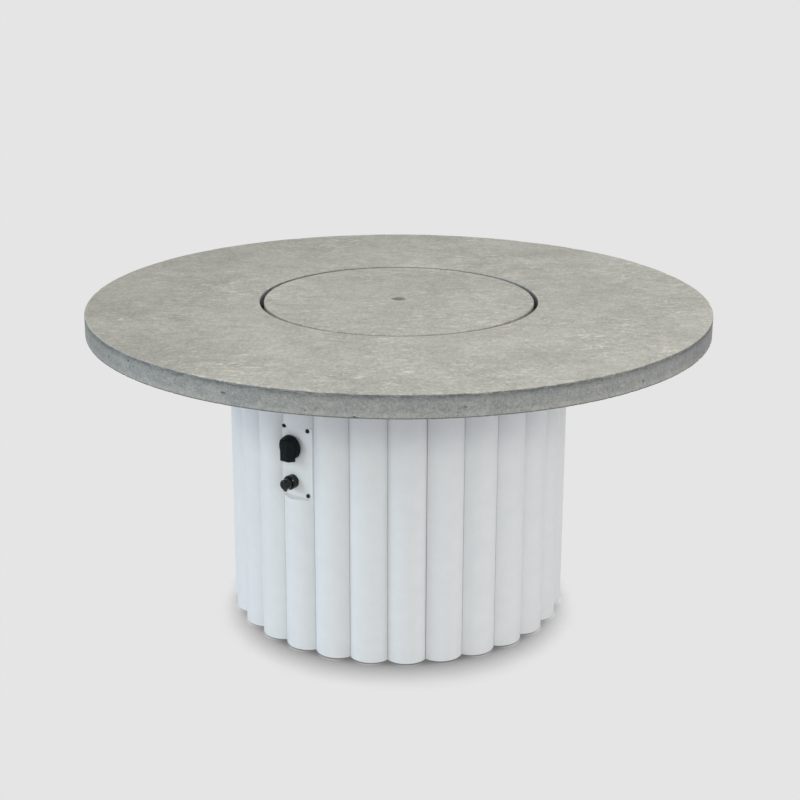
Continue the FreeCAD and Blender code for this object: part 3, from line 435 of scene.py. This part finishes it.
controls_x = -0.011
knob_level = 0.4052
button_level = 0.3362
stem_face = (controls_x, -0.30795, knob_level)
plug_face = (controls_x, -0.30055, knob_level)
valve_spring = coil("valve_spring_coil", "plug", stem_face, plug_face, 0.0048, 0.0004)
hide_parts("valve_spring")
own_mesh(valve_spring)
button_face = (controls_x, -0.29945, button_level)
bore_end = (controls_x, -0.28945, button_level)
button_spring = coil("ignitor_spring_coil", "pedestal", button_face, bore_end, 0.0083, 0.0007)
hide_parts("ignitor_spring")
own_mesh(button_spring)

# Gas line: a drawn aluminium tube from the valve to the orifice fitting, bent to its route.
# The air mixer after the fitting is die-cast aluminium, with two slots that let the air in.
aluminium, tree, shader = new_material("drawn aluminium")
drawn = noise(tree, place(tree, (900.0, 60.0, 900.0)), 1.0, 3.0, 0.6)
metal = mixed(tree, drawn, (0.66, 0.67, 0.69, 1.0), (0.78, 0.79, 0.80, 1.0))
tree.links.new(metal, shader.inputs["Base Color"])
tree.links.new(spread(tree, drawn, 0.3, 0.7, 0.30, 0.44), shader.inputs["Roughness"])
shader.inputs["Metallic"].default_value = 1.0
dress(aluminium, "gas_tube", "air_mixer")

# Burner: a ring of stainless tube with ports, in a pan of stainless sheet, tinted by heat in places.
# The pan's floor, under the lava, is black with soot.
stainless, tree, shader = new_material("brushed stainless")
brushed = noise(tree, place(tree, (30.0, 30.0, 1400.0)), 1.0, 3.0, 0.6)
heat = noise(tree, place(tree), 16.0, 4.0, 0.6)
steel = mixed(tree, brushed, (0.52, 0.52, 0.51, 1.0), (0.66, 0.66, 0.65, 1.0))
steel = mixed(tree, spread(tree, heat, 0.5, 0.8, 0.0, 0.6), steel, (0.50, 0.42, 0.30, 1.0))
tree.links.new(steel, shader.inputs["Base Color"])
tree.links.new(spread(tree, brushed, 0.3, 0.7, 0.26, 0.42), shader.inputs["Roughness"])
shader.inputs["Metallic"].default_value = 1.0
relief(tree, brushed, 0.08, 0.00005)
dress(stainless, "pan_wall", "pan_screws", "burner_ring", "electrode_bracket")
sooty = blotched(
    "sooty stainless", 22.0, (0.35, 0.7), ((0.028, 0.025, 0.023, 1.0), (0.085, 0.075, 0.066, 1.0)),
    0.75, detail=5.0, metallic=0.3)
dress(sooty, "pan_floor")

# Electrode and thermocouple: both stand in one bracket beside the burner's ring.
# The one is a white ceramic insulator round a spark wire, and the other a copper-coloured probe.
ceramic = blotched(
    "white ceramic", 160.0, (0.5, 0.8), ((0.78, 0.77, 0.72, 1.0), (0.45, 0.43, 0.40, 1.0)), 0.35)
dress(ceramic, "spark_electrode")
copper = blotched(
    "drawn copper", 120.0, (0.4, 0.7), ((0.72, 0.40, 0.26, 1.0), (0.40, 0.22, 0.15, 1.0)), 0.34, metallic=1.0)
dress(copper, "thermocouple", "thermocouple_lead")

# Ignition lead and cover pads: black silicone rubber, matt and a little dusty.
# The lead is sheathed in it, and the four pads under the burner cover are moulded of it.
rubber = blotched(
    "black rubber", 260.0, (0.4, 0.75), ((0.018, 0.018, 0.019, 1.0), (0.050, 0.049, 0.047, 1.0)), 0.72)
dress(rubber, "ignition_lead", "cover_pads")

# Lava bed: one layer of small porous rocks that spreads the flames, poured round the burner's legs,
# the riser and the electrode's bracket.
lava_look, tree, shader = new_material("lava rock")
pores = tree.nodes.new("ShaderNodeTexVoronoi")
pores.inputs["Scale"].default_value = 480.0
tree.links.new(place(tree), pores.inputs["Vector"])
ash = noise(tree, place(tree), 60.0, 5.0, 0.65)
rock = mixed(tree, spread(tree, ash, 0.35, 0.7), (0.055, 0.034, 0.028, 1.0), (0.150, 0.095, 0.075, 1.0))
pits = spread(tree, pores.outputs["Distance"], 0.05, 0.35)
tree.links.new(mixed(tree, pits, (0.015, 0.010, 0.009, 1.0), rock), shader.inputs["Base Color"])
shader.inputs["Roughness"].default_value = 0.95
relief(tree, pits, 0.8, 0.0012)
pan_floor_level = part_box("lava_bed")[0].z
bracket_low, bracket_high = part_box("electrode_bracket")
bed_radius = 0.2155
lava_depth = 0.0158
rock_step = 0.0136
rock_size = 0.0078
scatter = 0.003
middle_gap = 0.0105
row_count = 15
burner_radius = 0.150
leg_radius = 0.003
leg_turns = [math.radians(45.0 + 90.0 * k) for k in range(4)]
leg_spots = [Vector((burner_radius * math.cos(turn), burner_radius * math.sin(turn))) for turn in leg_turns]
rocks = random.Random(7)
row_mesh = bpy.data.meshes.new("lava row")
bed = bmesh.new()
for row in range(1, row_count + 1):
    bm = bmesh.new()
    row_radius = middle_gap + rock_step * row
    count = int(math.tau * row_radius / rock_step)
    first = rocks.uniform(0.0, math.tau)
    for k in range(count):
        turn = first + math.tau * (k + rocks.uniform(-0.2, 0.2)) / count
        away = min(row_radius + rocks.uniform(-scatter, scatter), bed_radius)
        size = rock_size * rocks.uniform(0.80, 1.0)
        spot = Vector((away * math.cos(turn), away * math.sin(turn), pan_floor_level + lava_depth / 2))
        tumble = rocks.uniform(0.0, math.tau)
        spin = Matrix.Rotation(tumble, 4, Vector((rocks.uniform(-1, 1), rocks.uniform(-1, 1), 0.3)))
        by_leg = min((spot.xy - leg).length for leg in leg_spots) < leg_radius + size
        by_bracket = (bracket_low.x - size < spot.x < bracket_high.x + size
                      and bracket_low.y - size < spot.y < bracket_high.y + size)
        if by_leg or by_bracket:
            continue
        stone = bmesh.ops.create_icosphere(bm, subdivisions=2, radius=size)["verts"]
        shift = Vector((rocks.uniform(0, 9), rocks.uniform(0, 9), rocks.uniform(0, 9)))
        for vert in stone:
            lump = max(-1.0, min(1.0, 1.6 * fractal(vert.co * 130.0 + shift, 0.6, 2.1, 3)))
            vert.co = spin @ (vert.co * (0.86 + 0.14 * lump))
            vert.co += spot
    bm.to_mesh(row_mesh)
    bm.free()
    bed.from_mesh(row_mesh)
bpy.data.meshes.remove(row_mesh)
bmesh.ops.recalc_face_normals(bed, faces=bed.faces)
lava_rocks = new_piece("lava_rocks", bed, lava_look, "pedestal")
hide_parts("lava_bed")


# Table top: a slab of cast concrete, floated with a trowel that left short pale streaks of cement cream.
# Its rim was struck against the mould, so it is greyer and pitted, with a crumbled arris and a drip groove.
def tinted(tree, base, pattern, low, high, amount, colour):
    """Colour over a base, up to an amount, as a pattern passes from one limit to another."""
    return mixed(tree, spread(tree, pattern, low, high, 0.0, amount), base, colour)


def product(tree, *patterns):
    """Patterns and numbers multiplied together."""
    result = patterns[0]
    for pattern in patterns[1:]:
        result = arithmetic(tree, "MULTIPLY", result, pattern)
    return result


slab_low, slab_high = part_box("concrete_top")
cover_low, cover_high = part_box("burner_cover")
top_radius = slab_high.x
top_level = slab_high.z
slab_level = slab_low.z
cover_radius = cover_high.x
cover_level = cover_low.z
opening_radius = 0.274
groove_radius = 0.5846
groove_width = 0.006
groove_depth = 0.004
arris = 0.0025
eased = 0.002
concrete, tree, shader = new_material("cast concrete")
where = place(tree)
xyz = tree.nodes.new("ShaderNodeSeparateXYZ")
tree.links.new(where, xyz.inputs[0])
level = xyz.outputs["Z"]
flat = vector(tree, "MULTIPLY", where, (1.0, 1.0, 0.0)).outputs["Vector"]
radius = vector(tree, "LENGTH", flat).outputs["Value"]
clouds = noise(tree, where, 3.4, 6.0, 0.62, 0.5)
mottle = noise(tree, where, 17.0, 8.0, 0.72, 0.8)
trowel = tree.nodes.new("ShaderNodeMapping")
trowel.vector_type = "TEXTURE"
trowel.inputs["Rotation"].default_value = (0.0, 0.0, view_side + 0.12)
trowel.inputs["Scale"].default_value = (1.0 / 42.0, 1.0 / 85.0, 1.0 / 60.0)
tree.links.new(where, trowel.inputs["Vector"])
streaks = noise(tree, trowel.outputs["Vector"], 1.0, 7.0, 0.74, 0.9)
sand = noise(tree, where, 170.0, 4.0, 0.72)
warm = noise(tree, where, 4.6, 3.0, 0.5, 0.3)
cement = mixed(tree, spread(tree, clouds, 0.36, 0.66), (0.360, 0.358, 0.306, 1.0), (0.463, 0.454, 0.387, 1.0))
cement = tinted(tree, cement, mottle, 0.50, 0.70, 0.55, (0.559, 0.535, 0.441, 1.0))
cement = tinted(tree, cement, mottle, 0.48, 0.30, 0.55, (0.296, 0.291, 0.248, 1.0))
cream = product(tree, spread(tree, streaks, 0.52, 0.66), spread(tree, warm, 0.40, 0.62, 0.30, 1.0))
cement = mixed(tree, cream, cement, (0.690, 0.657, 0.548, 1.0))
cement = tinted(tree, cement, streaks, 0.46, 0.32, 0.55, (0.269, 0.265, 0.227, 1.0))
cement = tinted(tree, cement, sand, 0.54, 0.68, 0.60, (0.667, 0.646, 0.551, 1.0))
cement = tinted(tree, cement, sand, 0.45, 0.31, 0.60, (0.204, 0.207, 0.185, 1.0))

# Painted light: the face is a little lighter toward the right front, and darker at its far left, as the light
# falls on it.
nearer = vector(tree, "DOT_PRODUCT", where, heading(view_side + 0.5)).outputs["Value"]
leftward = vector(tree, "DOT_PRODUCT", where, heading(view_side - math.radians(90.0))).outputs["Value"]
painted_light_tone = product(tree, spread(tree, nearer, -0.6, 0.6, 0.92, 1.17),
               spread(tree, leftward, 0.25, 0.60, 1.0, 0.88))
cement = mixed(tree, 1.0, cement, painted_light_tone, "MULTIPLY")

# The rim's colour, with its scuffs, sand and grains.
mould = noise(tree, where, 26.0, 6.0, 0.66, 0.6)
scuffs = noise(tree, place(tree, (45.0, 45.0, 260.0)), 1.0, 5.0, 0.65, 0.5)
grains = noise(tree, where, 310.0, 3.0, 0.7)
rim = mixed(tree, spread(tree, mould, 0.36, 0.66), (0.266, 0.280, 0.276, 1.0), (0.361, 0.361, 0.336, 1.0))
rim = tinted(tree, rim, scuffs, 0.58, 0.74, 0.6, (0.502, 0.496, 0.460, 1.0))
rim = tinted(tree, rim, scuffs, 0.38, 0.26, 0.85, (0.089, 0.094, 0.094, 1.0))
rim = tinted(tree, rim, sand, 0.54, 0.68, 0.45, (0.522, 0.517, 0.481, 1.0))
rim = tinted(tree, rim, sand, 0.45, 0.31, 0.5, (0.136, 0.144, 0.144, 1.0))
rim = tinted(tree, rim, grains, 0.54, 0.68, 0.38, (0.520, 0.515, 0.480, 1.0))
rim = tinted(tree, rim, grains, 0.46, 0.32, 0.45, (0.118, 0.125, 0.125, 1.0))

# Ragged holes that air left against the mould.
uneven = tree.nodes.new("ShaderNodeTexNoise")
uneven.inputs["Scale"].default_value = 130.0
uneven.inputs["Detail"].default_value = 4.0
tree.links.new(where, uneven.inputs["Vector"])
ragged = vector(tree, "MULTIPLY_ADD", uneven.outputs["Color"], (0.012, 0.012, 0.005))
tree.links.new(place(tree, (0.7, 0.7, 1.5)), ragged.inputs[2])
holes = tree.nodes.new("ShaderNodeTexVoronoi")
holes.inputs["Scale"].default_value = 80.0
tree.links.new(ragged.outputs["Vector"], holes.inputs["Vector"])
chance = tree.nodes.new("ShaderNodeSeparateColor")
tree.links.new(holes.outputs["Color"], chance.inputs["Color"])
hole_size = spread(tree, chance.outputs["Red"], 0.86, 1.0, 0.0, 0.26)
hole = spread(tree, arithmetic(tree, "SUBTRACT", holes.outputs["Distance"], hole_size), 0.06, -0.02)
rim = mixed(tree, product(tree, hole, 0.75), rim, (0.073, 0.075, 0.073, 1.0))

# The rim's painted light and shade: a painted shadow over its upper part, a dark broken line of painted shade
# under the arris, a paler foot of painted light, a dark lower edge and painted shade toward both sides.
wavy = arithmetic(tree, "ADD", level, spread(tree, mould, 0.2, 0.8, -0.0035, 0.0035))
# Painted shadow over the rim's upper part, under the arris.
shadowed = mixed(tree, 1.0, rim, (0.70, 0.72, 0.74, 1.0), "MULTIPLY")
rim = mixed(tree, spread(tree, wavy, top_level - 0.0163, top_level - 0.0063), rim, shadowed)
# Painted shade: a dark broken line just under the arris.
by_edge = spread(tree, radius, top_radius - 0.0046, top_radius - 0.0021)
under_arris = spread(tree, wavy, top_level - 0.0098, top_level - 0.0048)
arris_painted_shade = product(tree, under_arris, by_edge, spread(tree, scuffs, 0.56, 0.42, 0.0, 0.75))
rim = mixed(tree, arris_painted_shade, rim, (0.105, 0.110, 0.108, 1.0))
# Painted light: the foot of the rim is made paler.
paler = mixed(tree, 1.0, rim, (1.16, 1.15, 1.12, 1.0), "MULTIPLY")
rim = mixed(tree, spread(tree, wavy, slab_level + 0.0127, slab_level + 0.0067), rim, paler)
rim = tinted(tree, rim, level, slab_level + 0.0029, slab_level + 0.0019, 0.8, (0.075, 0.078, 0.078, 1.0))
# Painted shade: the rim darkens toward both sides of the view.
sideways = arithmetic(tree, "ABSOLUTE", leftward)
rim = mixed(tree, 1.0, rim, spread(tree, sideways, 0.475, 0.53, 1.0, 0.84), "MULTIPLY")
upright = spread(tree, arithmetic(tree, "ABSOLUTE", upness(tree)), 0.72, 0.40)
# Painted light: the cover's side and the finger hole's wall take only a little of the rim's grey, so they
# stay lighter, as if lit from the front.
past_cover = spread(tree, radius, cover_radius + eased, opening_radius - eased, 0.35, 1.0)
on_rim = product(tree, upright, past_cover)
cement = mixed(tree, on_rim, cement, rim)

# Pale and dark crumbs along the arris.
crumbs = noise(tree, where, 260.0, 5.0, 0.75, 0.5)
worn_stretch = spread(tree, clouds, 0.40, 0.58, 0.25, 1.0)
on_edge = spread(tree, radius, top_radius - 0.0066, top_radius - 0.0021)
on_top = spread(tree, level, top_level - 0.0043, top_level - 0.0023)
on_arris = product(tree, on_edge, on_top, worn_stretch)
pale_crumbs = product(tree, on_arris, spread(tree, crumbs, 0.50, 0.62, 0.0, 0.65))
cement = mixed(tree, pale_crumbs, cement, (0.62, 0.60, 0.53, 1.0))
dark_crumbs = product(tree, on_arris, spread(tree, crumbs, 0.40, 0.30, 0.0, 0.6))
cement = mixed(tree, dark_crumbs, cement, (0.12, 0.125, 0.12, 1.0))
tree.links.new(cement, shader.inputs["Base Color"])
tree.links.new(spread(tree, mottle, 0.3, 0.7, 0.70, 0.56), shader.inputs["Roughness"])
shader.inputs["Specular IOR Level"].default_value = 0.35
grit = arithmetic(tree, "ADD", product(tree, streaks, 0.55), product(tree, sand, 0.30))
grit = arithmetic(tree, "SUBTRACT", grit, product(tree, hole, on_rim, 0.6))
relief(tree, grit, 0.55, 0.0012)


def arc(radius, height, size, first, last, steps):
    """Points of a rounded corner in an outline, about its centre, between two angles in degrees."""
    turns = [math.radians(first + (last - first) * k / steps) for k in range(steps + 1)]
    return [(radius + size * math.cos(turn), height + size * math.sin(turn)) for turn in turns]


def turned(outline, steps):
    """Closed ring: an outline of radii and heights, turned about the table's axis.

    A sixteenth of the turn is spun, then doubled four times.
    """
    bm = bmesh.new()
    corners = [bm.verts.new((radius, 0.0, height)) for radius, height in outline]
    sides = [bm.edges.new(pair) for pair in zip(corners, corners[1:] + corners[:1])]
    angle = math.tau / 16.0
    bmesh.ops.spin(bm, geom=corners + sides, cent=(0.0, 0.0, 0.0), axis=(0.0, 0.0, 1.0),
                   angle=angle, steps=steps // 16)
    for doubling in range(4):
        copied = bmesh.ops.duplicate(bm, geom=list(bm.verts) + list(bm.edges) + list(bm.faces))["geom"]
        copied_verts = [part for part in copied if isinstance(part, bmesh.types.BMVert)]
        bmesh.ops.rotate(bm, verts=copied_verts, cent=(0.0, 0.0, 0.0), matrix=Matrix.Rotation(angle, 3, "Z"))
        angle *= 2.0
    bmesh.ops.remove_doubles(bm, verts=bm.verts, dist=0.00002)
    bmesh.ops.recalc_face_normals(bm, faces=bm.faces)
    for face in bm.faces:
        face.smooth = True
    return bm


def crumble(bm, edge_radius, edge_level, reach, depth):
    """Wears the arris at a radius and level back by up to a depth, with softer stretches and a few chips."""
    slant = 0.7
    elsewhere = Vector((3.0, 1.0, 5.0))
    for vert in bm.verts:
        away = math.hypot(vert.co.x, vert.co.y)
        gap = math.hypot(away - edge_radius, vert.co.z - edge_level)
        if gap > 3.0 * reach:
            continue
        soft = 0.45 + 0.55 * fractal(vert.co * 9.0, 0.7, 2.0, 3)
        grainy = 0.10 * fractal(vert.co * 120.0, 0.6, 2.2, 3)
        chip = max(0.0, fractal(vert.co * 26.0 + elsewhere, 0.8, 2.0, 3) - 0.36)
        worn = depth * math.exp(-(gap / reach) ** 2) * max(0.05, min(1.7, soft + grainy + 2.6 * chip))
        vert.co.x -= slant * worn * vert.co.x / away
        vert.co.y -= slant * worn * vert.co.y / away
        vert.co.z -= slant * worn


rim_rows = 21
worn_band = 0.004
slab_ring = 0.45
outline = [(opening_radius, slab_level), (opening_radius, top_level - 3 * eased)]
outline += arc(opening_radius + eased, top_level - eased, eased, 180.0, 90.0, 4)
outline += [(opening_radius + 2 * eased, top_level), (slab_ring, top_level)]
outline += [(top_radius - inward, top_level) for inward in (0.012, 0.008, 0.0055, worn_band)]
outline += arc(top_radius - arris, top_level - arris, arris, 90.0, 0.0, 5)
rim_high = top_level - arris
rim_low = slab_level + eased
outline += [(top_radius, rim_high + (rim_low - rim_high) * k / rim_rows) for k in range(1, rim_rows)]
outline += arc(top_radius - eased, rim_low, eased, 0.0, -90.0, 3)
groove_inside = groove_radius - groove_width
groove_level = slab_level + groove_depth
outline += [(top_radius - 2 * eased, slab_level), (groove_radius, slab_level), (groove_radius, groove_level),
            (groove_inside, groove_level), (groove_inside, slab_level)]
bm = turned(outline, 1440)
crumble(bm, top_radius, top_level, worn_band, 0.0012)
for vert in bm.verts:
    away = math.hypot(vert.co.x, vert.co.y)
    if away < top_radius - worn_band or vert.co.z > top_level - 0.003:
        continue
    dent = max(0.0, fractal(vert.co * 85.0, 0.6, 2.2, 4) - 0.12)
    swell = 0.5 + 0.5 * fractal(vert.co * 14.0, 0.8, 2.0, 3)
    worn = 0.0005 * max(0.0, swell) + 0.0016 * dent
    vert.co.x -= worn * vert.co.x / away
    vert.co.y -= worn * vert.co.y / away
slab = new_piece("concrete_slab", bm, concrete, "pedestal")
smooth_below = math.radians(50.0)
slab.data.set_sharp_from_angle(angle=smooth_below)
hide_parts("concrete_top")

# Burner cover: a disc of the same concrete, cast in a shallow mould with a finger hole in its middle.
# It stands on rubber pads on the pan's flange and is lifted off by hand.
cover_ring = 0.14
finger_radius = 0.014
foot_arris = 0.001
outline = [(finger_radius, cover_level)]
outline += arc(finger_radius + eased, top_level - eased, eased, 180.0, 90.0, 4)
outline += [(finger_radius + 2 * eased, top_level), (cover_ring, top_level),
            (cover_radius - 3 * eased, top_level), (cover_radius - 2 * eased, top_level)]
outline += arc(cover_radius - eased, top_level - eased, eased, 90.0, 0.0, 4)
outline += [(cover_radius, top_level - 0.006), (cover_radius, top_level - 0.012),
            (cover_radius, cover_level + foot_arris), (cover_radius - foot_arris, cover_level)]
bm = turned(outline, 960)
crumble(bm, cover_radius, top_level, 0.003, 0.0009)
lid = new_piece("concrete_cover", bm, concrete, "cover")
lid.data.set_sharp_from_angle(angle=smooth_below)
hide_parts("burner_cover")
